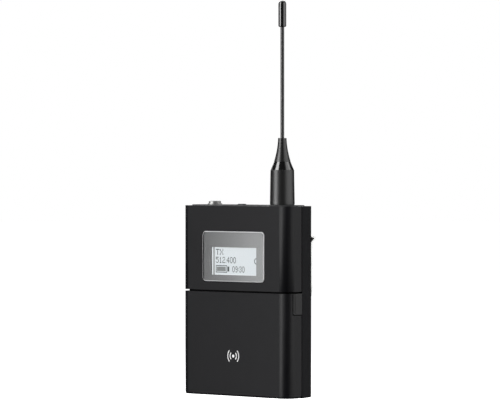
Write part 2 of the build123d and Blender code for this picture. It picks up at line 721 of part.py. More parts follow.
def make_antenna_ring():
    """The glossy cone on top of the barrel."""
    ring = upright((ANTENNA_X, 0), (BARREL_Z[1], RING_TOP), *RING_R)
    return ring - upright((ANTENNA_X, 0), (WHIP_Z[0], RING_TOP + PAST), WHIP_R)


def make_antenna_boot():
    """The rubber bend relief, its outline a hollow curve."""
    low, middle, high = BOOT_PROFILE
    curve = ThreePointArc(low, middle, high)
    rest = Polyline(high, (WHIP_R, high[1]), (WHIP_R, low[1]), low)
    face = Plane.XZ * make_face([*curve.edges(), *rest.edges()])
    return Pos(ANTENNA_X, 0, 0) * revolve(face, Axis.Z)


def make_antenna_whip():
    """The sheathed whip."""
    return upright((ANTENNA_X, 0), WHIP_Z, WHIP_R)


def make_antenna_tip():
    """The rounded cap on the whip's end."""
    tip = upright((ANTENNA_X, 0), TIP_Z, TIP_R)
    tip = fillet(tip.edges().group_by(Axis.Z)[-1], TIP_DOME_R)
    tip = fillet(tip.edges().group_by(Axis.Z)[0], TIP_FOOT_R)
    return tip - upright((ANTENNA_X, 0), (TIP_Z[0] - PAST, WHIP_Z[1]), WHIP_R)


def make_antenna_nut():
    """The hexagon nut that clamps the antenna stud under the plate."""
    nut = extrude(RegularPolygon(NUT_R, 6), amount=NUT_THICK)
    nut = Pos(ANTENNA_X, 0, PLATE_BOTTOM - NUT_THICK) * nut
    return nut - upright((ANTENNA_X, 0), STUD_Z, STUD_R)


def make_antenna_lead():
    """The spring strip from the stud to the main board."""
    return block((ANTENNA_X - LEAD_HALF, ANTENNA_X + LEAD_HALF), (STUD_R, BOARD_Y[0]), LEAD_Z)


def make_housing_screws():
    """Four recessed-drive screws that close the rear cover."""
    screws = None
    for x, z in SCREWS:
        screw = rearward((x, z), (SCREW_TIP_Y, SCREW_HEAD_Y[0]), SCREW_SHANK_R)
        screw += rearward((x, z), SCREW_HEAD_Y, SCREW_HEAD_R)
        drive = extrude(RegularPolygon(SCREW_DRIVE_R, 6), amount=SCREW_DRIVE_DEEP, both=True)
        screw -= Pos(x, SCREW_HEAD_Y[1], z) * Rot(90, 0, 0) * drive
        screws = screw if screws is None else screws + screw
    return screws


def clip_rod(x, radius):
    """A rod along the belt clip's axis."""
    return crosswise((CLIP_AXIS_Y, CLIP_AXIS_Z), x, radius)


def make_clip_bracket():
    """The plate on the rear cover whose ears hold the belt clip's pin."""
    bracket = block((-BRACKET_HALF, BRACKET_HALF), (RECESS_Y, RECESS_Y + BRACKET_THICK), BRACKET_Z)
    ear_z = (CLIP_AXIS_Z - CLIP_EYE_R, BRACKET_Z[1])
    inner = BRACKET_HALF - BRACKET_EAR
    for span in ((-BRACKET_HALF, -inner), (inner, BRACKET_HALF)):
        ear = clip_rod(span, CLIP_EYE_R)
        bracket += ear + block(span, (RECESS_Y, CLIP_AXIS_Y), ear_z)
    return bracket - clip_rod((-CLIP_HALF, CLIP_HALF), CLIP_PIN_R)


def make_clip_pin():
    """The pin that the belt clip turns on."""
    half = CLIP_HALF + CLIP_PIN_END
    return clip_rod((-half, half), CLIP_PIN_R)


def make_belt_clip():
    """The bent spring-steel clip: two arms joined in a U at the bottom."""
    bends = FilletPolyline(*CLIP_BENDS, radius=CLIP_BEND_R)
    sheet = extrude(Plane.YZ * trace(bends, CLIP_THICK), amount=CLIP_HALF, both=True)
    tall = (CLIP_BEND_Z, HEIGHT)
    deep = (0, FAR)
    inner = CLIP_HALF - CLIP_ARM
    outline = block((-CLIP_HALF, CLIP_HALF), deep, tall) + rearward((0, CLIP_BEND_Z), deep, CLIP_HALF)
    outline -= block((-inner, inner), deep, tall)
    outline -= rearward((0, CLIP_BEND_Z), deep, inner)
    clip = sheet & outline
    eye = inner + CLIP_EYE_STEP
    for span in ((-CLIP_HALF, -eye), (eye, CLIP_HALF)):
        clip += clip_rod(span, CLIP_EYE_R)
    edge = inner - CLIP_EYE_OVERLAP
    notch_y = (RECESS_Y, CLIP_AXIS_Y + CLIP_NOTCH)
    notch_z = (CLIP_AXIS_Z - CLIP_NOTCH, CLIP_AXIS_Z + CLIP_NOTCH)
    for span in ((-eye, -edge), (edge, eye)):
        clip -= block(span, notch_y, notch_z)
    return clip - clip_rod((-WIDTH, WIDTH), CLIP_PIN_R + CLIP_RUNNING_GAP)


def make_rating_label():
    """The blank label on the rear cover."""
    return block((-LABEL_HALF, LABEL_HALF), (RECESS_Y, RECESS_Y + LABEL_THICK), LABEL_Z)


def make_hinge_pin():
    """The pin along the door's hinge."""
    return hinge_rod(HINGE_PIN_R)


def all_pieces():
    """Every node's name with its shape."""
    latch = make_latch()
    pieces = {
        "front_shell": make_front_shell(),
        "rear_shell": make_rear_shell(),
        "top_plate": make_top_plate(),
        "battery_door": make_battery_door(),
        "door_pads": make_door_pads(),
        "latch_right": latch,
        "latch_left": mirror(latch, about=Plane.YZ),
        "hinge_pin": make_hinge_pin(),
        "battery_tray": make_tray(),
        "cell_upper": make_cell(CELL_Z[1], 1),
        "cell_lower": make_cell(CELL_Z[0], -1),
        "contact_right": make_contact(1),
        "contact_left": make_contact(-1),
        "spring_upper": make_spring(CELL_Z[1], -1),
        "spring_lower": make_spring(CELL_Z[0], 1),
        "control_panel": make_control_panel(),
        "key_switches": make_key_switches(),
        "key_board": make_key_board(),
        "main_board": make_main_board(),
        "board_parts": make_board_parts(),
        "rf_shield": make_rf_shield(),
        "display_panel": make_display_panel(),
        "display_frame": make_display_frame(),
        "display_flex": make_display_flex(),
        "display_window": make_display_window(),
        "window_mask": make_window_mask(),
        "jack_socket": make_jack_socket(),
        "jack_collar": make_jack_collar(),
        "jack_tails": make_jack_tails(),
        "mute_slider": make_mute_slider(),
        "mute_switch": make_mute_switch(),
        "antenna_seal": make_antenna_seal(),
        "antenna_barrel": make_antenna_barrel(),
        "antenna_ring": make_antenna_ring(),
        "antenna_boot": make_antenna_boot(),
        "antenna_whip": make_antenna_whip(),
        "antenna_tip": make_antenna_tip(),
        "antenna_stud": upright((ANTENNA_X, 0), STUD_Z, STUD_R),
        "antenna_nut": make_antenna_nut(),
        "antenna_lead": make_antenna_lead(),
        "housing_screws": make_housing_screws(),
        "clip_bracket": make_clip_bracket(),
        "clip_pin": make_clip_pin(),
        "belt_clip": make_belt_clip(),
        "rating_label": make_rating_label(),
    }
    pieces.update({name: make_lens(x) for name, x in LENSES.items()})
    pieces.update({name: make_round_button(x) for name, x in ROUND_BUTTONS.items()})
    pieces.update({name: make_bar_button(x) for name, x in BAR_BUTTONS.items()})
    return pieces


os.makedirs("parts", exist_ok=True)
for name, shape in all_pieces().items():
    export_step(shape, f"parts/{name}.step")
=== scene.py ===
"""Looks of a wireless bodypack transmitter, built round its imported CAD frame.

Everything is in metres in the CAD frame: +X to the right seen from the front,
+Y towards the belt clip at the rear and +Z up along the antenna.
"""

from dataclasses import dataclass
from enum import Enum
from functools import cache
import logging
import math

import bmesh
import bpy
from mathutils import Matrix, Vector


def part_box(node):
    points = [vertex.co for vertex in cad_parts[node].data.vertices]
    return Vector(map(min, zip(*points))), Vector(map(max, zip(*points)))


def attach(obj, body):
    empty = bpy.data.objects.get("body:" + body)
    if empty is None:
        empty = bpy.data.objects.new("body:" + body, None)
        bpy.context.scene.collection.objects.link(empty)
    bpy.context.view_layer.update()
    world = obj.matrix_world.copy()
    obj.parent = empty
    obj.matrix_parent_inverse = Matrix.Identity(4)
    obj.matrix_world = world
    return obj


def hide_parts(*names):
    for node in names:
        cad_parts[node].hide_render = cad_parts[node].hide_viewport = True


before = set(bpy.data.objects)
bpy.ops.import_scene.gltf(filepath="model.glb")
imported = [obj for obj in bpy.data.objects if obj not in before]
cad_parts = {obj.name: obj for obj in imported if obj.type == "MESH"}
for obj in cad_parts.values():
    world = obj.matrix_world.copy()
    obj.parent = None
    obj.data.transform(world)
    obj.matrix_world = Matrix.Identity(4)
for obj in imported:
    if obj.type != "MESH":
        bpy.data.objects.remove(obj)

log = logging.getLogger("bodypack")
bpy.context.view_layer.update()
MM = 0.001  # metres in a millimetre
INK_MM = 0.015  # thickness of anything printed
SMOOTH_ANGLE = math.radians(35.0)  # edges sharper than this stay sharp
Colour = tuple[float, float, float]
Triple = tuple[float, float, float]
Pair = tuple[float, float]


# ---- shader maths


class Wire:
    """One output of a shader node, with the usual operators as Math nodes."""

    def __init__(self, graph: "Graph", socket: bpy.types.NodeSocket) -> None:
        """Keeps the socket and the graph that it belongs to."""
        self.graph = graph
        self.socket = socket

    def _math(self, operation: str, first: object, second: object = 0.0) -> "Wire":
        """Adds one Math node.

        Args:
            operation: The Math node's operation.
            first: A wire or a number.
            second: A wire or a number.

        Returns:
            The node's output.
        """
        return self.graph.add("ShaderNodeMath", {"operation": operation}, {0: first, 1: second})

    def __add__(self, other: object) -> "Wire":
        """Sum."""
        return self._math("ADD", self, other)

    def __radd__(self, other: object) -> "Wire":
        """Sum with the number first."""
        return self._math("ADD", other, self)

    def __sub__(self, other: object) -> "Wire":
        """Difference."""
        return self._math("SUBTRACT", self, other)

    def __rsub__(self, other: object) -> "Wire":
        """Difference with the number first."""
        return self._math("SUBTRACT", other, self)

    def __mul__(self, other: object) -> "Wire":
        """Product."""
        return self._math("MULTIPLY", self, other)

    def __rmul__(self, other: object) -> "Wire":
        """Product with the number first."""
        return self._math("MULTIPLY", other, self)

    def __truediv__(self, other: object) -> "Wire":
        """Quotient."""
        return self._math("DIVIDE", self, other)

    def __rtruediv__(self, other: object) -> "Wire":
        """Quotient with the number first."""
        return self._math("DIVIDE", other, self)

    def __gt__(self, other: object) -> "Wire":
        """One where this is greater."""
        return self._math("GREATER_THAN", self, other)

    def __lt__(self, other: object) -> "Wire":
        """One where this is less."""
        return self._math("LESS_THAN", self, other)

    def __abs__(self) -> "Wire":
        """Absolute value."""
        return self._math("ABSOLUTE", self)

    def wrapped(self) -> "Wire":
        """Fractional part."""
        return self._math("FRACT", self)


class Graph:
    """The node tree of one material."""

    def __init__(self, name: str) -> None:
        """Makes a material with an empty node tree and its output node."""
        self.material = bpy.data.materials.new(name)
        self.material.use_nodes = True
        self.tree = self.material.node_tree
        self.tree.nodes.clear()
        self.output = self.tree.nodes.new("ShaderNodeOutputMaterial")

    def add(self, kind: str, settings: dict, inputs: dict, output: object = 0) -> Wire:
        """Adds one node.

        Args:
            kind: The node's type.
            settings: Attributes to set first; "stops" fills a colour ramp.
            inputs: Values or wires by input name or index.
            output: The output's name or index.

        Returns:
            That output.
        """
        node = self.tree.nodes.new(kind)
        for key, value in settings.items():
            if key == "stops":
                self._fill_ramp(node.color_ramp, value)
            else:
                setattr(node, key, value)
        for key, value in inputs.items():
            if isinstance(value, Wire):
                self.tree.links.new(value.socket, node.inputs[key])
            else:
                node.inputs[key].default_value = value
        return Wire(self, node.outputs[output])

    @staticmethod
    def _fill_ramp(ramp: bpy.types.ColorRamp, stops: list) -> None:
        """Gives a colour ramp its (position, grey) stops."""
        while len(ramp.elements) < len(stops):
            ramp.elements.new(0.5)
        for element, (position, grey) in zip(ramp.elements, stops):
            element.position = position
            element.color = (grey, grey, grey, 1.0)

    def place(self, scale: Triple = (1.0, 1.0, 1.0), offset: Triple = (0.0, 0.0, 0.0)) -> Wire:
        """Object coordinates through a Mapping node.

        Args:
            scale: Scale along each axis.
            offset: Where the pattern's centre goes, in metres.

        Returns:
            The mapped vector.
        """
        coords = self.add("ShaderNodeTexCoord", {}, {}, "Object")
        back = tuple(-o * s for o, s in zip(offset, scale))
        return self.add("ShaderNodeMapping", {}, {"Vector": coords, "Scale": scale, "Location": back})

    def axes(self, offset: Triple = (0.0, 0.0, 0.0)) -> list[Wire]:
        """The x, y and z of Object coordinates in millimetres, from the offset."""
        scale = (1.0 / MM,) * 3
        split = self.tree.nodes.new("ShaderNodeSeparateXYZ")
        self.tree.links.new(self.place(scale, offset).socket, split.inputs[0])
        return [Wire(self, out) for out in split.outputs]

    def noise(self, grain_mm: float, detail: float = 2.0, stretch: Triple = (1.0, 1.0, 1.0)) -> Wire:
        """Noise whose lumps are about grain_mm across.

        Args:
            grain_mm: Size of a lump.
            detail: Octaves.
            stretch: How much finer the noise is along each axis.

        Returns:
            The noise, about 0.5 in the middle.
        """
        vector = self.place(stretch)
        inputs = {"Vector": vector, "Scale": 1.0 / (grain_mm * MM), "Detail": detail}
        return self.add("ShaderNodeTexNoise", {}, inputs, "Fac")

    def mix(self, factor: object, first: object, second: object) -> Wire:
        """Mixes two colours.

        Args:
            factor: Wire or number, 0 for the first colour.
            first: Colour or wire.
            second: Colour or wire.

        Returns:
            The mixed colour.
        """
        first, second = (c if isinstance(c, Wire) else (*c, 1.0) for c in (first, second))
        return self.add("ShaderNodeMix", {"data_type": "RGBA"}, {0: factor, 6: first, 7: second}, 2)

    def bump(self, height: Wire, depth_mm: float, strength: float = 1.0) -> Wire:
        """A Bump node on that height, depth_mm deep."""
        inputs = {"Height": height, "Distance": depth_mm * MM, "Strength": strength}
        return self.add("ShaderNodeBump", {}, inputs, "Normal")

    def finish(self, inputs: dict) -> bpy.types.Material:
        """Ends the tree in a Principled shader.

        Args:
            inputs: The shader's inputs.

        Returns:
            The material.
        """
        shader = self.add("ShaderNodeBsdfPrincipled", {}, inputs, "BSDF")
        return self.close(shader)

    def close(self, shader: Wire) -> bpy.types.Material:
        """Links a shader to the output and returns the material."""
        self.tree.links.new(shader.socket, self.output.inputs["Surface"])
        return self.material


# ---- finishes


@dataclass(frozen=True)
class Moulded:
    """Moulded plastic or rubber with an eroded grain."""

    name: str
    colour: Colour
    roughness: float
    grain_mm: float = 0.16
    depth_mm: float = 0.006
    spread: float = 0.06
    specular: float = 0.5
    coat: float = 0.0

    def build(self) -> bpy.types.Material:
        """Builds the material: grain in the normal, soft blotches in roughness and colour."""
        g = Graph(self.name)
        grain = g.noise(self.grain_mm, 3.0)
        blotch = g.noise(9.0, 4.0)
        rough = self.roughness + (blotch - 0.5) * self.spread + (grain - 0.5) * self.spread
        pale = tuple(c * 1.35 + 0.001 for c in self.colour)
        dark = tuple(c * 0.75 for c in self.colour)
        colour = g.mix(blotch * 0.6 + grain * 0.4, dark, pale)
        return g.finish({
            "Base Color": colour,
            "Roughness": rough,
            "Specular IOR Level": self.specular,
            "Coat Weight": self.coat,
            "Coat Roughness": 0.08,
            "Normal": g.bump(grain, self.depth_mm),
        })


@dataclass(frozen=True)
class Metal:
    """Bare or plated metal, brushed along one axis."""

    name: str
    colour: Colour
    roughness: float
    brush: Triple = (1.0, 1.0, 1.0)
    grain_mm: float = 0.12
    depth_mm: float = 0.002
    spread: float = 0.12

    def build(self) -> bpy.types.Material:
        """Builds the material: brush marks in roughness and normal, faint tarnish in colour."""
        g = Graph(self.name)
        marks = g.noise(self.grain_mm, 3.0, self.brush)
        tarnish = g.noise(3.0, 4.0)
        shade = tuple(c * 0.82 for c in self.colour)
        return g.finish({
            "Base Color": g.mix(tarnish, shade, self.colour),
            "Metallic": 1.0,
            "Roughness": self.roughness + (marks - 0.5) * self.spread,
            "Normal": g.bump(marks, self.depth_mm),
        })


@dataclass(frozen=True)
class Ink:
    """Printed ink, a little uneven."""

    name: str
    colour: Colour
    roughness: float = 0.45

    def build(self) -> bpy.types.Material:
        """Builds the material."""
        g = Graph(self.name)
        speck = g.noise(0.25, 3.0)
        thin = tuple(c * 0.86 for c in self.colour)
        return g.finish({
            "Base Color": g.mix(speck, thin, self.colour),
            "Roughness": self.roughness + (speck - 0.5) * 0.1,
        })


@dataclass(frozen=True)
class ClearPane:
    """Clear acrylic: what is behind it shows, and lights reflect in it."""

    name: str
    ior: float = 1.49

    def build(self) -> bpy.types.Material:
        """Builds the material as a Fresnel mix of see-through and gloss."""
        g = Graph(self.name)
        clear = g.add("ShaderNodeBsdfTransparent", {}, {"Color": (0.97, 0.975, 0.975, 1.0)})
        gloss = g.add("ShaderNodeBsdfGlossy", {}, {"Color": (1.0, 1.0, 1.0, 1.0), "Roughness": 0.06})
        fresnel = g.add("ShaderNodeFresnel", {}, {"IOR": self.ior})
        inside = g.add("ShaderNodeNewGeometry", {}, {}, "Backfacing")
        smear = g.noise(6.0, 3.0)
        factor = fresnel * (1.0 - inside) * (0.9 + smear * 0.2)
        shader = g.add("ShaderNodeMixShader", {}, {0: factor, 1: clear, 2: gloss})
        return g.close(shader)


@dataclass(frozen=True)
class PrintedMask:
    """Satin grey mask print behind the pane, with painted light: painted shade towards its left side
    and a painted reflection towards its right.
    """

    name: str
    left: Colour
    right: Colour
    half_mm: float

    def build(self) -> bpy.types.Material:
        """Builds the material with painted light along X, from painted shade at the left to a painted
        reflection at the right.
        """
        g = Graph(self.name)
        x = g.axes()[0]
        along = x / (2.0 * self.half_mm) + 0.5
        flake = g.noise(0.06, 2.0)
        # Painted light: the grey runs from painted shade at the left to a painted reflection of the
        # lights at the right.
        painted_light_tone = g.mix(along + (flake - 0.5) * 0.08, self.left, self.right)
        return g.finish({
            "Base Color": painted_light_tone,
            "Roughness": 0.36 + (flake - 0.5) * 0.12,
            "Normal": g.bump(flake, 0.001),
        })


@dataclass(frozen=True)
class PaintedGlowGlass:
    """The display's pale glass, with a painted glow of its own colour standing in for light on it."""

    name: str
    colour: Colour
    glow: float

    def build(self) -> bpy.types.Material:
        """Builds the material with a faint cell pattern, soft uneven colour and a painted glow."""
        g = Graph(self.name)
        uneven = g.noise(12.0, 2.0)
        x, _, z = g.axes()
        pitch = 0.22
        cells = ((x / pitch).wrapped() > 0.12) * ((z / pitch).wrapped() > 0.12)
        cool = tuple(c * w for c, w in zip(self.colour, (0.955, 0.98, 1.0)))
        colour = g.mix(uneven, cool, self.colour)
        dim = tuple(c * 0.965 for c in self.colour)
        colour = g.mix(cells, dim, colour)
        return g.finish({
            "Base Color": colour,
            "Roughness": 0.22,
            # Painted glow: the glass emits its colour to stand in for light falling on it.
            "Emission Color": colour,
            "Emission Strength": self.glow,
        })


@dataclass(frozen=True)
class Laminate:
    """Circuit board: solder mask over a net of copper tracks."""

    name: str
    mask: Colour
    track: Colour
    pitch_mm: float = 1.3

    def build(self) -> bpy.types.Material:
        """Builds the material with tracks along X and Z."""
        g = Graph(self.name)
        x, _, z = g.axes()
        step = g.noise(5.0, 1.0)
        runs = ((x / self.pitch_mm + step * 3.0).wrapped() < 0.28) * (g.noise(4.0, 0.0) > 0.5)
        cross = ((z / self.pitch_mm + step * 3.0).wrapped() < 0.28) * (g.noise(4.0, 0.0) < 0.5)
        tracks = runs + cross
        colour = g.mix(tracks, self.mask, self.track)
        return g.finish({
            "Base Color": colour,
            "Roughness": 0.34 + g.noise(0.5, 2.0) * 0.1,
            "Normal": g.bump(tracks, 0.02),
        })


@dataclass(frozen=True)
class CellSleeve:
    """A dry cell's printed sleeve, with a coloured band and bare steel ends."""

    name: str
    main: Colour
    band: Colour
    band_mm: Pair
    ends_mm: float

    def build(self) -> bpy.types.Material:
        """Builds the material from bands along X."""
        g = Graph(self.name)
        x = g.axes()[0]
        low, high = self.band_mm
        banded = (x > low) * (x < high)
        bare = abs(x) > self.ends_mm
        scuff = g.noise(2.5, 4.0)
        colour = g.mix(banded, self.main, self.band)
        colour = g.mix(bare, colour, (0.75, 0.75, 0.74))
        return g.finish({
            "Base Color": colour,
            "Metallic": 0.35 + bare * 0.6,
            "Roughness": 0.26 + scuff * 0.12,
            "Normal": g.bump(g.noise(0.6, 2.0), 0.004),
        })


@dataclass(frozen=True)
class OpenFoam:
    """Fine open-cell foam."""

    name: str
    colour: Colour

    def build(self) -> bpy.types.Material:
        """Builds the material with pores, bumped in and with painted shade in them."""
        g = Graph(self.name)
        inputs = {"Vector": g.place(), "Scale": 1.0 / (0.35 * MM)}
        pores = g.add("ShaderNodeTexVoronoi", {}, inputs, "Distance")
        dark = tuple(c * 0.3 for c in self.colour)
        return g.finish({
            # Painted shade: the colour darkens in the pores where shade falls.
            "Base Color": g.mix(pores, dark, self.colour),
            "Roughness": 0.95,
            "Normal": g.bump(pores, 0.12),
        })


class Finish(Enum):
    """Every finish on the transmitter."""

    CASE = Moulded("case_black", (0.0028, 0.0028, 0.0038), 0.45, 0.14, 0.004, 0.05, 0.16)
    # Painted light: the same black plastic as the case, made paler so that the rear shell's side looks
    # more lit.
    REAR_CASE_LIT = Moulded("rear_case_painted_light", (0.008, 0.008, 0.0092), 0.45, 0.14, 0.004, 0.05, 0.2)
    PLATE = Moulded("plate_black", (0.016, 0.016, 0.017), 0.55, 0.14, 0.005, 0.06, 0.16)
    INNER = Moulded("inner_black", (0.02, 0.02, 0.021), 0.55, 0.2, 0.008)
    # Painted shade: the control panel's plastic is darker than the case, standing for the shade behind
    # the door.
    SHADOW = Moulded("panel_painted_shade", (0.0015, 0.0015, 0.0016), 0.6, 0.2, 0.004, 0.05, 0.04)
    LATCH = Moulded("latch_black", (0.005, 0.005, 0.0055), 0.42, 0.14, 0.004, 0.05, 0.22)
    SLEEVE = Moulded("antenna_sleeve", (0.007, 0.007, 0.007), 0.4, 0.1, 0.002, 0.06, 0.5)
    BOOT = Moulded("boot_rubber", (0.006, 0.006, 0.006), 0.36, 0.12, 0.002)
    SEAL = Moulded("seal_rubber", (0.015, 0.015, 0.015), 0.7, 0.3, 0.01)
    GLOSS = Moulded("gloss_black", (0.004, 0.004, 0.004), 0.14, 0.5, 0.0005, 0.02, 0.6, 0.3)
    WHIP = Moulded("whip_sheath", (0.02, 0.02, 0.02), 0.33, 0.1, 0.002)
    KNOB = Moulded("knob_black", (0.002, 0.002, 0.002), 0.42, 0.1, 0.003, 0.05, 0.08)
    KEY = Moulded("key_grey", (0.23, 0.235, 0.24), 0.48, 0.12, 0.004)
    POWER_KEY = Moulded("key_red", (0.33, 0.03, 0.025), 0.46, 0.12, 0.004)
    SWITCH = Moulded("switch_black", (0.03, 0.03, 0.03), 0.5)
    CHIP = Moulded("chip_black", (0.022, 0.022, 0.024), 0.5, 0.1, 0.004)
    LENS = Moulded("lens_milky", (0.55, 0.58, 0.56), 0.15, 0.6, 0.001, 0.02, 0.5, 0.5)
    LABEL = Moulded("label_silver", (0.48, 0.48, 0.49), 0.4, 0.3, 0.002)
    FLEX = Moulded("flex_amber", (0.42, 0.16, 0.025), 0.3, 0.5, 0.002)
    # Partly frosted acrylic, partly a painted highlight: the pale grey stands for the light that the
    # pane's bevelled edge catches.
    RIM = Moulded("pane_rim_frost_and_highlight", (0.52, 0.52, 0.53), 0.22, 0.4, 0.001, 0.04, 0.6)
    COLLAR = Metal("collar_polished", (0.34, 0.34, 0.335), 0.5, depth_mm=0.0004, spread=0.03)
    STEEL = Metal("spring_steel", (0.66, 0.66, 0.65), 0.48, (6.0, 6.0, 0.4))
    PIN = Metal("pin_steel", (0.6, 0.6, 0.6), 0.25, (0.3, 6.0, 6.0))
    SCREW = Metal("screw_black", (0.11, 0.11, 0.115), 0.36)
    TIN = Metal("tinned_sheet", (0.7, 0.7, 0.68), 0.33, (0.4, 4.0, 4.0))
    GOLD = Metal("contact_gold", (0.83, 0.61, 0.27), 0.24)
    SPRING = Metal("spring_plated", (0.66, 0.66, 0.64), 0.24)
    WHITE_INK = Ink("white_ink", (0.78, 0.78, 0.78))
    BLACK_INK = Ink("black_ink", (0.03, 0.03, 0.03))
    SEGMENT = Ink("display_segment", (0.07, 0.078, 0.08), 0.3)
    FAINT_SEGMENT = Ink("display_faint", (0.24, 0.25, 0.25), 0.3)
    # Painted shadow: the grey of the line at the display's left edge.
    PAINTED_SHADOW_LINE = Ink("display_painted_shadow", (0.36, 0.37, 0.37), 0.3)
    PANE = ClearPane("clear_pane")
    # Painted light: the mask is darker at its left and paler at its right, as the lights' reflection
    # would make it.
    MASK = PrintedMask("mask_grey", (0.115, 0.115, 0.117), (0.3, 0.3, 0.302), 18.6)
    # Painted glow: the display and its border emit their own colour to stand in for light on them.
    DISPLAY = PaintedGlowGlass("display_glass", (0.6, 0.62, 0.635), 0.25)
    DISPLAY_EDGE = PaintedGlowGlass("display_edge", (0.7, 0.71, 0.72), 0.26)
    BOARD = Laminate("board_green", (0.012, 0.085, 0.04), (0.03, 0.16, 0.07))
    CELL_A = CellSleeve("cell_sleeve_a", (0.035, 0.04, 0.05), (0.55, 0.33, 0.08), (10.0, 24.0), 24.6)
    CELL_B = CellSleeve("cell_sleeve_b", (0.035, 0.04, 0.05), (0.55, 0.33, 0.08), (-24.0, -10.0), 24.6)
    FOAM = OpenFoam("foam_grey", (0.09, 0.09, 0.095))


@cache
def material_of(finish: Finish) -> bpy.types.Material:
    """The finish's material, built on first use."""
    return finish.value.build()


# ---- mesh building


class MeshWork:
    """A bmesh in millimetres that becomes one piece riding on a CAD body."""

    def __init__(self, name: str) -> None:
        """Starts an empty mesh for the named piece."""
        self.name = name
        self.bm = bmesh.new()

    def block(self, low: Triple, high: Triple) -> None:
        """Adds a box between two corners."""
        size = [h - l for l, h in zip(low, high)]
        centre = Vector([(h + l) / 2 for l, h in zip(low, high)])
        place = Matrix.Translation(centre) @ Matrix.Diagonal((*size, 1.0))
        bmesh.ops.create_cube(self.bm, size=1.0, matrix=place)

    def bevel(self, edges: list, offset: float, segments: int) -> None:
        """Bevels edges with the editor's settings."""
        bmesh.ops.bevel(
            self.bm, geom=edges, offset=offset, offset_type="OFFSET", affect="EDGES",
            segments=segments, profile=0.5, material=-1, clamp_overlap=True,
        )

    @staticmethod
    def _stand(centre: Triple) -> Matrix:
        """Puts the Z axis on a centre and turns it to run along Y."""
        return Matrix.Translation(Vector(centre)) @ Matrix.Rotation(-math.pi / 2, 4, "X")

    def disc(self, centre: Triple, radius: float, segments: int) -> list:
        """Adds an ink-thin disc on a front face.

        Args:
            centre: Its centre on that face.
            radius: Its radius.
            segments: Sides of the disc.

        Returns:
            The new vertices.
        """
        x, y, z = centre
        made = bmesh.ops.create_cone(
            self.bm, cap_ends=True, segments=segments, radius1=radius, radius2=radius,
            depth=INK_MM, matrix=self._stand((x, y - INK_MM / 2, z)),
        )
        return made["verts"]

    def ring(self, centre: Triple, outer: float, inner: float, segments: int = 32) -> None:
        """Spins an ink-thin ring on a front face.

        Args:
            centre: Its centre on that face.
            outer: Outer radius.
            inner: Inner radius.
            segments: Steps of the full turn.
        """
        place = self._stand(centre)
        outline = [(outer, 0.0), (outer, -INK_MM), (inner, -INK_MM), (inner, 0.0)]
        verts = [self.bm.verts.new(place @ Vector((r, 0.0, h))) for r, h in outline]
        edges = [self.bm.edges.new(pair) for pair in zip(verts, verts[1:] + verts[:1])]
        bmesh.ops.spin(
            self.bm, geom=verts + edges, cent=Vector(centre), axis=(0.0, 1.0, 0.0),
            angle=2 * math.pi, steps=segments, use_merge=True, use_normal_flip=False,
        )

    def border(self, low: Triple, high: Triple, line: float, left_line: float = 0.0) -> None:
        """Adds an upright rectangular border between two corners.

        Args:
            low: Lowest corner.
            high: Highest corner.
            line: Width of its sides.
            left_line: Width of its left side, the same as the others if left out.
        """
        left, near, bottom = low
        right, far, top = high
        self.block((left, near, top - line), (right, far, top))
        self.block((left, near, bottom), (right, far, bottom + line))
        self.block((left, near, bottom + line), (left + (left_line or line), far, top - line))
        self.block((right - line, near, bottom + line), (right, far, top - line))

    def cut(self, point: Triple, normal: Triple) -> None:
        """Cuts away what lies on the normal's side of a plane and closes the cut."""
        geometry = self.bm.verts[:] + self.bm.edges[:] + self.bm.faces[:]
        made = bmesh.ops.bisect_plane(
            self.bm, geom=geometry, plane_co=Vector(point), plane_no=Vector(normal), clear_outer=True,
        )
        rim = [e for e in made["geom_cut"] if isinstance(e, bmesh.types.BMEdge)]
        bmesh.ops.edgeloop_fill(self.bm, edges=rim)

    def tidy(self) -> None:
        """Merges doubles and turns faces outwards."""
        bmesh.ops.remove_doubles(self.bm, verts=self.bm.verts[:], dist=0.0005)
        bmesh.ops.recalc_face_normals(self.bm, faces=self.bm.faces[:])

    def seat(self, body: str, slot: str, *finishes: Finish) -> bpy.types.Object:
        """Ends the piece: metres, finishes, smooth shading and body.

        Args:
            body: The CAD body that it rides on.
            slot: Not used.
            finishes: One finish per material index.

        Returns:
            The new object.
        """
        bmesh.ops.scale(self.bm, vec=(MM, MM, MM), verts=self.bm.verts[:])
        mesh = bpy.data.meshes.new(self.name)
        self.bm.to_mesh(mesh)
        self.bm.free()
        for polygon in mesh.polygons:
            polygon.use_smooth = True
        mesh.set_sharp_from_angle(angle=SMOOTH_ANGLE)
        for finish in finishes:
            mesh.materials.append(material_of(finish))
        piece = bpy.data.objects.new(self.name, mesh)
        bpy.context.scene.collection.objects.link(piece)
        level = piece.modifiers.new("flat_faces", "WEIGHTED_NORMAL")
        level.keep_sharp = True
        level.weight = 100
        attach(piece, body)
        log.info("%s: %d faces on %s", self.name, len(mesh.polygons), body)
        return piece


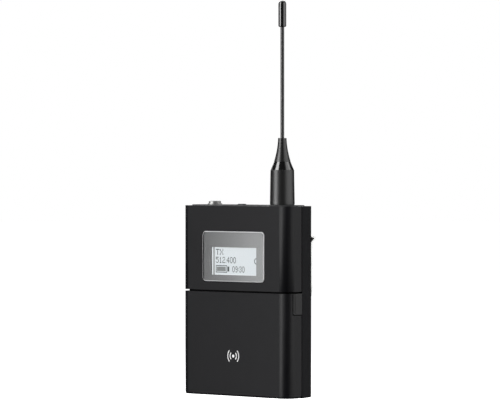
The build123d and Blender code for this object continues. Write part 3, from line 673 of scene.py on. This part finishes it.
@dataclass(frozen=True)
class Print:
    """A line of characters printed on a face that looks to the front, the rear or up."""

    text: str
    low: Pair
    size: Pair
    level: float
    facing: str = "front"
    thick: float = INK_MM
    spacing: float = 1.12
    weight: float = 0.008
    wrap: Triple | None = None
    bend_steps: int = 8

    def build(self, name: str, body: str, slot: str, finish: Finish) -> bpy.types.Object:
        """Makes the characters a mesh and fits them into their box.

        Args:
            name: The piece's name.
            body: The CAD body that it rides on.
            slot: The record's material slot.
            finish: The ink.

        Returns:
            The new object.
        """
        curve = bpy.data.curves.new(name, "FONT")
        curve.body = self.text
        curve.resolution_u = 4
        curve.space_character = self.spacing
        curve.offset = self.weight
        holder = bpy.data.objects.new(name + "_line", curve)
        bpy.context.scene.collection.objects.link(holder)
        bpy.context.view_layer.update()
        depsgraph = bpy.context.evaluated_depsgraph_get()
        mesh = bpy.data.meshes.new_from_object(holder.evaluated_get(depsgraph))
        bpy.data.objects.remove(holder)
        work = MeshWork(name)
        work.bm.from_mesh(mesh)
        bpy.data.meshes.remove(mesh)
        self._fit(work)
        return work.seat(body, slot, finish)

    def _fit(self, work: MeshWork) -> None:
        """Scales the flat characters into the box, thickens and turns them."""
        bm = work.bm
        xs = [v.co.x for v in bm.verts]
        ys = [v.co.y for v in bm.verts]
        wide, tall = max(xs) - min(xs), max(ys) - min(ys)
        bmesh.ops.translate(bm, vec=(-min(xs), -min(ys), 0.0), verts=bm.verts[:])
        fit = (self.size[0] / wide, self.size[1] / tall, 1.0)
        bmesh.ops.scale(bm, vec=fit, verts=bm.verts[:])
        bmesh.ops.remove_doubles(bm, verts=bm.verts[:], dist=0.0005)
        made = bmesh.ops.extrude_face_region(bm, geom=bm.faces[:])
        top = [v for v in made["geom"] if isinstance(v, bmesh.types.BMVert)]
        bmesh.ops.translate(bm, vec=(0.0, 0.0, self.thick), verts=top)
        bmesh.ops.recalc_face_normals(bm, faces=bm.faces[:])
        a, b = self.low
        frames = {
            "front": Matrix.Translation((a, self.level, b)) @ Matrix.Rotation(math.pi / 2, 4, "X"),
            "up": Matrix.Translation((a, b, self.level)),
            "rear": Matrix.Translation((a, self.level, b)) @ Matrix.Rotation(math.pi, 4, "Z")
            @ Matrix.Rotation(math.pi / 2, 4, "X"),
        }
        bmesh.ops.transform(bm, matrix=frames[self.facing], verts=bm.verts[:])
        if self.wrap:
            self._bend(work)

    def _bend(self, work: MeshWork) -> None:
        """Bends the line round a cylinder along X, given as (centre y, centre z, radius)."""
        centre_y, centre_z, radius = self.wrap
        bm = work.bm
        for step in range(1, self.bend_steps):
            geometry = bm.verts[:] + bm.edges[:] + bm.faces[:]
            height = self.low[1] + self.size[1] * step / self.bend_steps
            plane = {"plane_co": (0.0, 0.0, height), "plane_no": (0.0, 0.0, 1.0)}
            bmesh.ops.bisect_plane(bm, geom=geometry, **plane)
        for vert in bm.verts:
            reach = radius + self.level - vert.co.y
            angle = (vert.co.z - centre_z) / radius
            vert.co.y = centre_y - reach * math.cos(angle)
            vert.co.z = centre_z + reach * math.sin(angle)


DOTS = {
    "0": "01110 10001 10001 10001 10001 10001 01110",
    "1": "00100 01100 00100 00100 00100 00100 01110",
    "2": "01110 10001 00001 00110 01000 10000 11111",
    "3": "01110 10001 00001 00110 00001 10001 01110",
    "4": "00010 00110 01010 10010 11111 00010 00010",
    "5": "11111 10000 11110 00001 00001 10001 01110",
    "9": "01110 10001 10001 01111 00001 00001 01110",
    "T": "11111 00100 00100 00100 00100 00100 00100",
    "X": "10001 10001 01010 00100 01010 10001 10001",
    ".": "0 0 0 0 0 0 1",
    ":": "0 0 1 0 1 0 0",
}


@dataclass(frozen=True)
class DotFigures:
    """Characters on the display made of small square dots."""

    text: str
    low: Pair
    dot: Pair = (0.325, 0.37)
    gap: float = 0.015
    rows: int = 7

    def build(self, name: str, level: float) -> bpy.types.Object:
        """Makes the characters.

        Args:
            name: The piece's name.
            level: Y of the display's face.

        Returns:
            The new object.
        """
        work = MeshWork(name)
        wide, tall = self.dot
        start = self.low[0]
        for character in self.text:
            lines = DOTS[character].split()
            for row, line in enumerate(lines):
                z = self.low[1] + (self.rows - 1 - row) * tall
                for column, lit in enumerate(line):
                    if lit == "1":
                        x = start + column * wide
                        far = (x + wide - self.gap, level, z + tall - self.gap)
                        work.block((x, level - INK_MM, z), far)
            start += (len(lines[0]) + 1) * wide
        return work.seat("housing", "display_grey", Finish.SEGMENT)


def node_box(node: str) -> tuple[Vector, Vector]:
    """A CAD node's lowest and highest corners in millimetres."""
    low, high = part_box(node)
    return low / MM, high / MM


def dress(finish: Finish, *nodes: str, edge_mm: float = 0.0) -> None:
    """Gives CAD nodes their finish and, if wanted, softened edges.

    Args:
        finish: Their finish.
        nodes: The CAD nodes.
        edge_mm: Width of the softened edges, 0 for none.
    """
    for node in nodes:
        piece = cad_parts[node]
        piece.data.materials.clear()
        piece.data.materials.append(material_of(finish))
        if edge_mm:
            weld = piece.modifiers.new("weld", "WELD")
            weld.merge_threshold = 0.000001
            bevel = piece.modifiers.new("soft_edges", "BEVEL")
            bevel.width = edge_mm * MM
            bevel.segments = 2
            bevel.limit_method = "ANGLE"
            bevel.angle_limit = math.radians(40.0)
            bevel.harden_normals = True
            bevel.use_clamp_overlap = True
        log.info("%s: dressed in %s", node, finish.name)


# ---- the assembly


@dataclass
class CaseShells:
    """The two covers, the door, the top plate and the latches."""

    edge_mm: float = 0.12
    sign_centre: Pair = (0.0, 17.0)
    sign_radii: tuple[float, ...] = (2.1, 3.5)
    sign_line: float = 0.45
    sign_dot: float = 0.675

    def build(self) -> None:
        """Dresses the covers and prints a plain symbol on the door."""
        dress(Finish.CASE, "front_shell", "battery_door", edge_mm=self.edge_mm)
        # Painted light: the rear shell wears a paler copy of the case plastic.
        dress(Finish.REAR_CASE_LIT, "rear_shell", edge_mm=self.edge_mm)
        dress(Finish.PLATE, "top_plate", edge_mm=self.edge_mm)
        dress(Finish.LATCH, "latch_left", "latch_right", edge_mm=self.edge_mm)
        dress(Finish.PIN, "hinge_pin")
        dress(Finish.FOAM, "door_pads", edge_mm=0.1)
        self._radio_sign()

    def _radio_sign(self) -> None:
        """A plain radio symbol: a dot with arcs to its left and right."""
        front = node_box("battery_door")[0].y
        x, z = self.sign_centre
        for name, side in (("left", -1.0), ("right", 1.0)):
            work = MeshWork(f"door_sign_{name}")
            for radius in self.sign_radii:
                work.ring((x, front, z), radius, radius - self.sign_line, 64)
            for slope in (-1.0, 1.0):
                work.cut((x, front, z), (-side, 0.0, slope))
            work.tidy()
            work.seat("door", "label", Finish.WHITE_INK)
        dot = MeshWork("door_sign_dot")
        dot.disc((x, front, z), self.sign_dot, 24)
        dot.seat("door", "label", Finish.WHITE_INK)


@dataclass
class Window:
    """Pane, mask, display and what the display shows."""

    bevel_mm: float = 0.38
    corner_mm: float = 1.9
    lit_low: Pair = (-13.4, 51.15)
    lit_high: Pair = (13.4, 62.85)
    edge_line: float = 0.22
    edge_proud: float = 0.01
    shadow_line_span: Pair = (0.75, 1.75)
    arc_centre: Pair = (13.2, 57.2)
    arc_radii: Pair = (1.3, 0.95)
    arc_cut: float = 0.1
    cell_low: Pair = (-11.0, 52.1)
    cell_high: Pair = (-4.3, 55.2)
    cell_line: float = 0.32
    nub_inset: float = 0.5
    nub_span: Pair = (0.25, 1.3)
    charge_inset: float = 0.6
    charge_gap: float = 0.8
    readouts: tuple[tuple[str, DotFigures], ...] = (
        ("figures_mode", DotFigures("TX", (-11.0, 59.5), (0.4, 0.37))),
        ("figures_frequency", DotFigures("512.400", (-11.0, 56.15))),
        ("figures_clock", DotFigures("09:30", (-1.2, 52.35), (0.295, 0.36))),
    )

    def build(self) -> None:
        """Builds the pane and the display's contents and dresses the rest."""
        self._pane()
        dress(Finish.MASK, "window_mask")
        dress(Finish.DISPLAY, "display_panel")
        dress(Finish.INNER, "display_frame", edge_mm=0.1)
        dress(Finish.FLEX, "display_flex")
        self._edge_line()
        self._readout()

    def _pane(self) -> None:
        """The clear pane with a bevelled rim in pale grey, partly frosted acrylic and partly a painted
        highlight.
        """
        low, high = node_box("display_window")
        work = MeshWork("clear_window")
        work.block(low, high)
        corners = [e for e in work.bm.edges if abs(e.verts[0].co.y - e.verts[1].co.y) > 0.001]
        work.bevel(corners, self.corner_mm, 10)
        front = [e for e in work.bm.edges if all(abs(v.co.y - low.y) < 0.001 for v in e.verts)]
        work.bevel(front, self.bevel_mm, 3)
        work.tidy()
        work.bm.normal_update()
        for face in work.bm.faces:
            face.material_index = 0 if abs(face.normal.y) > 0.999 else 1
        pane = work.seat("housing", "pane", Finish.PANE, Finish.RIM)
        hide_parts("display_window")

    def _edge_line(self) -> None:
        """The bright border and, at the left of the lit area, a grey line that is a painted shadow of
        the gap at the display's edge.
        """
        face = node_box("display_panel")[0].y
        near = face - self.edge_proud
        left, bottom = self.lit_low
        right, top = self.lit_high
        work = MeshWork("display_border")
        line = self.edge_line
        work.border((left, near, bottom), (right, face, top), line, line * 2.0)
        work.seat("housing", "display_grey", Finish.DISPLAY_EDGE)
        # Painted shadow: a grey line where the gap at the display's left edge casts its shadow.
        start, end = self.shadow_line_span
        bar = MeshWork("display_shadow_line")
        bar.block((left + start, near - self.edge_proud / 2, bottom), (left + end, face, top))
        bar.seat("housing", "display_grey", Finish.PAINTED_SHADOW_LINE)

    def _readout(self) -> None:
        """Mode, frequency and clock figures, the cell sign and the arc at the right."""
        y = node_box("display_panel")[0].y
        for name, figures in self.readouts:
            figures.build(name, y)
        self._cell_sign(y)
        x, z = self.arc_centre
        arc = MeshWork("menu_dot")
        arc.ring((x, y, z), *self.arc_radii)
        arc.cut((self.lit_high[0] - self.arc_cut, y, z), (1.0, 0.0, 0.0))
        arc.tidy()
        arc.seat("housing", "display_grey", Finish.SEGMENT)

    def _cell_sign(self, y: float) -> None:
        """The outlined cell with its charge bar and nub."""
        near = y - INK_MM
        left, low = self.cell_low
        right, high = self.cell_high
        nub, charge = self.nub_inset, self.charge_inset
        nub_left, nub_right = self.nub_span
        sign = MeshWork("cell_sign")
        sign.border((left, near, low), (right, y, high), self.cell_line)
        sign.block((right + nub_left, near, low + nub), (right + nub_right, y, high - nub))
        sign.seat("housing", "display_grey", Finish.SEGMENT)
        bar = MeshWork("cell_sign_charge")
        bar.block((left + charge, near, low + charge), (right - self.charge_gap, y, high - charge))
        bar.seat("housing", "display_grey", Finish.FAINT_SEGMENT)


@dataclass
class TopControls:
    """Jack, mute slider and status lights."""

    ribs: int = 5
    rib_pitch: float = 0.5
    rib_half: float = 0.1
    rib_reach: float = 0.75
    word_low: Pair = (-4.4, 1.3)
    word_size: Pair = (4.2, 0.9)

    def build(self) -> None:
        """Dresses the top's parts and adds the slider's grip."""
        dress(Finish.COLLAR, "jack_collar")
        dress(Finish.INNER, "jack_socket")
        dress(Finish.TIN, "jack_tails")
        dress(Finish.KNOB, "mute_slider")
        dress(Finish.SWITCH, "mute_switch", edge_mm=0.1)
        dress(Finish.LENS, "link_lens", "data_lens")
        self._grip()
        top = node_box("top_plate")[1].z
        word = Print("MUTE", self.word_low, self.word_size, top, "up")
        word.build("mute_word", "housing", "label", Finish.WHITE_INK)

    def _grip(self) -> None:
        """Fine ribs across the slider's cap."""
        low, high = node_box("mute_slider")
        work = MeshWork("mute_ribs")
        middle = (low.x + high.x) / 2
        y = (low.y + high.y) / 2
        for index in range(self.ribs):
            x = middle + (index - (self.ribs - 1) / 2) * self.rib_pitch
            near = (x - self.rib_half, y - self.rib_reach, high.z - self.rib_half)
            work.block(near, (x + self.rib_half, y + self.rib_reach, high.z))
        work.seat("mute_knob", "black_plastic", Finish.KNOB)


@dataclass
class Antenna:
    """Seal, sleeve, ring, boot, whip, tip and the fixings inside."""

    def build(self) -> None:
        """Dresses the antenna from the plate up."""
        dress(Finish.SEAL, "antenna_seal")
        dress(Finish.SLEEVE, "antenna_barrel")
        dress(Finish.GLOSS, "antenna_ring")
        dress(Finish.BOOT, "antenna_boot")
        dress(Finish.WHIP, "antenna_whip")
        dress(Finish.GLOSS, "antenna_tip")
        dress(Finish.STEEL, "antenna_stud")
        dress(Finish.STEEL, "antenna_nut", edge_mm=0.1)
        dress(Finish.GOLD, "antenna_lead")


@dataclass
class BatteryBay:
    """Tray, cells and contacts behind the door."""

    prints: tuple[tuple[str, str, float, Pair, Finish], ...] = (
        ("volts", "1.5 V", -9.0, (8.0, 2.8), Finish.WHITE_INK),
        ("size", "AA", 2.5, (5.0, 2.8), Finish.WHITE_INK),
        ("plus", "+", 18.5, (2.8, 2.8), Finish.BLACK_INK),
        ("minus", "-", -19.0, (2.8, 0.7), Finish.WHITE_INK),
    )

    def build(self) -> None:
        """Dresses the bay."""
        dress(Finish.INNER, "battery_tray", edge_mm=0.12)
        dress(Finish.CELL_A, "cell_upper")
        dress(Finish.CELL_B, "cell_lower")
        dress(Finish.GOLD, "contact_left", "contact_right")
        dress(Finish.SPRING, "spring_upper", "spring_lower")
        self._sleeve_print("cell_upper", 1.0)
        self._sleeve_print("cell_lower", -1.0)

    def _sleeve_print(self, node: str, plus_side: float) -> None:
        """Voltage, size and the two signs printed round a cell.

        Args:
            node: The cell.
            plus_side: 1 where its plus end is at the right, -1 at the left.
        """
        low, high = node_box(node)
        centre_y, centre_z = (low.y + high.y) / 2, (low.z + high.z) / 2
        radius = (high.z - low.z) / 2
        for part, text, middle, size, ink in self.prints:
            start = (middle * plus_side - size[0] / 2, centre_z - size[1] / 2)
            line = Print(text, start, size, centre_y - radius, wrap=(centre_y, centre_z, radius))
            line.build(f"{node}_{part}", "housing", "label", ink)


@dataclass
class ControlPanel:
    """The panel behind the door, its keys and their printed signs."""

    arrow_radius: float = 0.85
    power_radii: Pair = (1.0, 0.76)
    power_cut: float = 0.7
    stroke_half: float = 0.12
    stroke_top: float = 1.1
    set_radii: Pair = (0.8, 0.5)
    wave_radii: Pair = (1.25, 0.8)
    wave_line: float = 0.2
    wave_drop: float = 0.6
    wave_dot: float = 0.26

    def build(self) -> None:
        """Dresses the panel and prints the keys' signs."""
        # Painted shade: the panel's finish is darkened to stand for the shade behind the door.
        dress(Finish.SHADOW, "control_panel", edge_mm=0.1)
        dress(Finish.POWER_KEY, "power_button")
        dress(Finish.KEY, "sync_button", "down_button", "up_button", "set_button")
        dress(Finish.SWITCH, "key_switches")
        dress(Finish.BOARD, "key_board")
        for node, body, upwards in (("up_button", "up_key", 1.0), ("down_button", "down_key", -1.0)):
            self._arrow(node, body, upwards)
        self._power_sign()
        self._set_sign()
        self._sync_sign()

    @staticmethod
    def _middle(node: str) -> Vector:
        """Centre of a key's front face."""
        low, high = node_box(node)
        return Vector(((low.x + high.x) / 2, low.y, (low.z + high.z) / 2))

    def _arrow(self, node: str, body: str, upwards: float) -> None:
        """A small triangle on an up or down key."""
        middle = self._middle(node)
        work = MeshWork(node.replace("button", "sign"))
        verts = work.disc(middle, self.arrow_radius, 3)
        turn = Matrix.Rotation(math.radians(90.0 * (1.0 + upwards)), 4, "Y")
        bmesh.ops.rotate(work.bm, cent=middle, matrix=turn, verts=verts)
        work.tidy()
        work.seat(body, "label", Finish.WHITE_INK)

    def _power_sign(self) -> None:
        """The usual broken ring with a stroke."""
        middle = self._middle("power_button")
        work = MeshWork("power_sign")
        work.ring(middle, *self.power_radii, 40)
        work.cut((middle.x, middle.y, middle.z + self.power_cut), (0.0, 0.0, 1.0))
        near = (middle.x - self.stroke_half, middle.y - INK_MM, middle.z)
        work.block(near, (middle.x + self.stroke_half, middle.y, middle.z + self.stroke_top))
        work.tidy()
        work.seat("power_key", "label", Finish.WHITE_INK)

    def _set_sign(self) -> None:
        """A small ring."""
        work = MeshWork("set_sign")
        work.ring(self._middle("set_button"), *self.set_radii)
        work.tidy()
        work.seat("set_key", "label", Finish.WHITE_INK)

    def _sync_sign(self) -> None:
        """Two arcs over a dot."""
        x, y, z = self._middle("sync_button")
        low = z - self.wave_drop
        work = MeshWork("sync_sign")
        for radius in self.wave_radii:
            work.ring((x, y, low), radius, radius - self.wave_line, 40)
        work.cut((x, y, z - self.wave_line), (0.0, 0.0, -1.0))
        work.disc((x, y, low), self.wave_dot, 20)
        work.tidy()
        work.seat("sync_key", "label", Finish.WHITE_INK)


@dataclass
class Electronics:
    """Boards and what sits on them."""

    def build(self) -> None:
        """Dresses the boards."""
        dress(Finish.BOARD, "main_board")
        dress(Finish.CHIP, "board_parts", edge_mm=0.1)
        dress(Finish.TIN, "rf_shield", edge_mm=0.15)


@dataclass
class RearFittings:
    """Belt clip, its bracket and pin, the cover screws and the rear label."""

    text_size: Pair = (9.0, 2.0)
    text_inset: float = 2.2
    first_drop: float = 4.6
    line_pitch: float = 3.8
    border_inset: float = 0.8
    border_line: float = 0.2

    def build(self) -> None:
        """Dresses the rear's parts."""
        dress(Finish.STEEL, "belt_clip", edge_mm=0.12)
        dress(Finish.INNER, "clip_bracket", edge_mm=0.12)
        dress(Finish.PIN, "clip_pin")
        dress(Finish.SCREW, "housing_screws")
        dress(Finish.LABEL, "rating_label")
        self._label_print()

    def _label_print(self) -> None:
        """Voltage, cell size and a border on the rear label."""
        low, high = node_box("rating_label")
        level = high.y
        for index, text in enumerate(("3 V DC", "2 x AA")):
            drop = self.first_drop + index * self.line_pitch
            start = (high.x - self.text_inset, high.z - drop)
            line = Print(text, start, self.text_size, level, "rear")
            line.build(f"label_line_{index}", "housing", "label", Finish.BLACK_INK)
        inset = self.border_inset
        border = MeshWork("label_border")
        near = (low.x + inset, level, low.z + inset)
        border.border(near, (high.x - inset, level + INK_MM, high.z - inset), self.border_line)
        border.seat("housing", "label", Finish.BLACK_INK)


# ---- studio


@dataclass(frozen=True)
class SoftLight:
    """A soft rectangular light; azimuth is in degrees to the right of the camera."""

    name: str
    azimuth: float
    distance: float
    height: float
    size: Pair
    watts: float


@dataclass
class Studio:
    """Floor, world, lights and camera."""

    camera_azimuth: float = 45.08
    camera_distance: float = 1.789
    camera_height: float = 0.1035
    aim: Triple = (0.0005, 0.0005, 0.0828)
    lens_mm: float = 304.2
    sensor_mm: float = 36.0
    floor_half: float = 6.0
    floor_drop: float = 0.06
    dark_grey: float = 0.03
    light_aim: Triple = (0.0, 0.0, 0.06)
    lights: tuple[SoftLight, ...] = (
        SoftLight("key_left", -65.0, 1.1, 0.35, (0.62, 1.5), 27.0),
        SoftLight("key_right", 60.0, 1.2, 0.3, (1.2, 1.5), 13.0),
        SoftLight("side_right", 96.0, 1.2, 0.3, (0.55, 1.4), 4.3),
        SoftLight("rear_fill", -168.0, 1.2, 0.75, (1.0, 0.8), 9.0),
        SoftLight("overhead", 180.0, 0.5, 1.3, (1.6, 1.0), 10.0),
    )

    def build(self) -> None:
        """Sets up the studio."""
        self._floor()
        self._world()
        for light in self.lights:
            self._light(light)
        self._camera()
        bpy.context.scene.view_settings.view_transform = "Standard"

    @staticmethod
    def _point(azimuth: float, distance: float, height: float) -> Vector:
        """A point round the object, azimuth 0 in front and 90 on the right."""
        angle = math.radians(azimuth)
        return Vector((distance * math.sin(angle), -distance * math.cos(angle), height))

    def _floor(self) -> None:
        """A plain white floor, low enough for the open door to swing clear of it."""
        bm = bmesh.new()
        place = Matrix.Translation((0.0, 0.0, -self.floor_drop))
        bmesh.ops.create_grid(bm, x_segments=1, y_segments=1, size=self.floor_half, matrix=place)
        mesh = bpy.data.meshes.new("floor")
        bm.to_mesh(mesh)
        bm.free()
        g = Graph("floor_white")
        paper = g.noise(400.0, 2.0)
        mesh.materials.append(g.finish({
            "Base Color": g.mix(paper, (0.78, 0.78, 0.78), (0.8, 0.8, 0.8)),
            "Roughness": 0.9,
            "Emission Color": (1.0, 1.0, 1.0, 1.0),
            "Emission Strength": 1.0,
        }))
        floor = bpy.data.objects.new("floor", mesh)
        bpy.context.scene.collection.objects.link(floor)
        floor.visible_glossy = False
        floor.visible_diffuse = False

    def _world(self) -> None:
        """White behind the object, nearly dark in what it reflects."""
        world = bpy.data.worlds.new("studio_world")
        world.use_nodes = True
        tree = world.node_tree
        tree.nodes.clear()
        path = tree.nodes.new("ShaderNodeLightPath")
        mix = tree.nodes.new("ShaderNodeMixShader")
        output = tree.nodes.new("ShaderNodeOutputWorld")
        tree.links.new(path.outputs["Is Camera Ray"], mix.inputs[0])
        for socket, grey in ((1, self.dark_grey), (2, 1.0)):
            background = tree.nodes.new("ShaderNodeBackground")
            background.inputs["Color"].default_value = (grey, grey, grey, 1.0)
            tree.links.new(background.outputs[0], mix.inputs[socket])
        tree.links.new(mix.outputs[0], output.inputs[0])
        bpy.context.scene.world = world

    def _light(self, light: SoftLight) -> None:
        """Adds one soft light."""
        data = bpy.data.lights.new(light.name, "AREA")
        data.shape = "RECTANGLE"
        data.size, data.size_y = light.size
        data.energy = light.watts
        lamp = bpy.data.objects.new(light.name, data)
        lamp.location = self._point(self.camera_azimuth + light.azimuth, light.distance, light.height)
        towards = Vector(self.light_aim) - lamp.location
        lamp.rotation_euler = towards.to_track_quat("-Z", "Y").to_euler()
        bpy.context.scene.collection.objects.link(lamp)

    def _camera(self) -> None:
        """Adds the camera at the product's usual three-quarter view."""
        data = bpy.data.cameras.new("camera")
        data.lens = self.lens_mm
        data.sensor_width = self.sensor_mm
        data.clip_start, data.clip_end = 0.05, 50.0
        camera = bpy.data.objects.new("camera", data)
        camera.location = self._point(self.camera_azimuth, self.camera_distance, self.camera_height)
        towards = Vector(self.aim) - camera.location
        camera.rotation_euler = towards.to_track_quat("-Z", "Y").to_euler()
        bpy.context.scene.collection.objects.link(camera)
        bpy.context.scene.camera = camera


def write_sizes() -> None:
    """Updates the view layer."""
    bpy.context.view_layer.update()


def main() -> None:
    """Builds the transmitter's looks and the studio in order."""
    logging.basicConfig(level=logging.INFO, format="%(name)s %(message)s")
    for part in (
        CaseShells(), Window(), TopControls(), Antenna(), BatteryBay(),
        ControlPanel(), Electronics(), RearFittings(), Studio(),
    ):
        part.build()
        log.info("%s done", type(part).__name__)
    write_sizes()


if __name__ == "__main__":
    main()
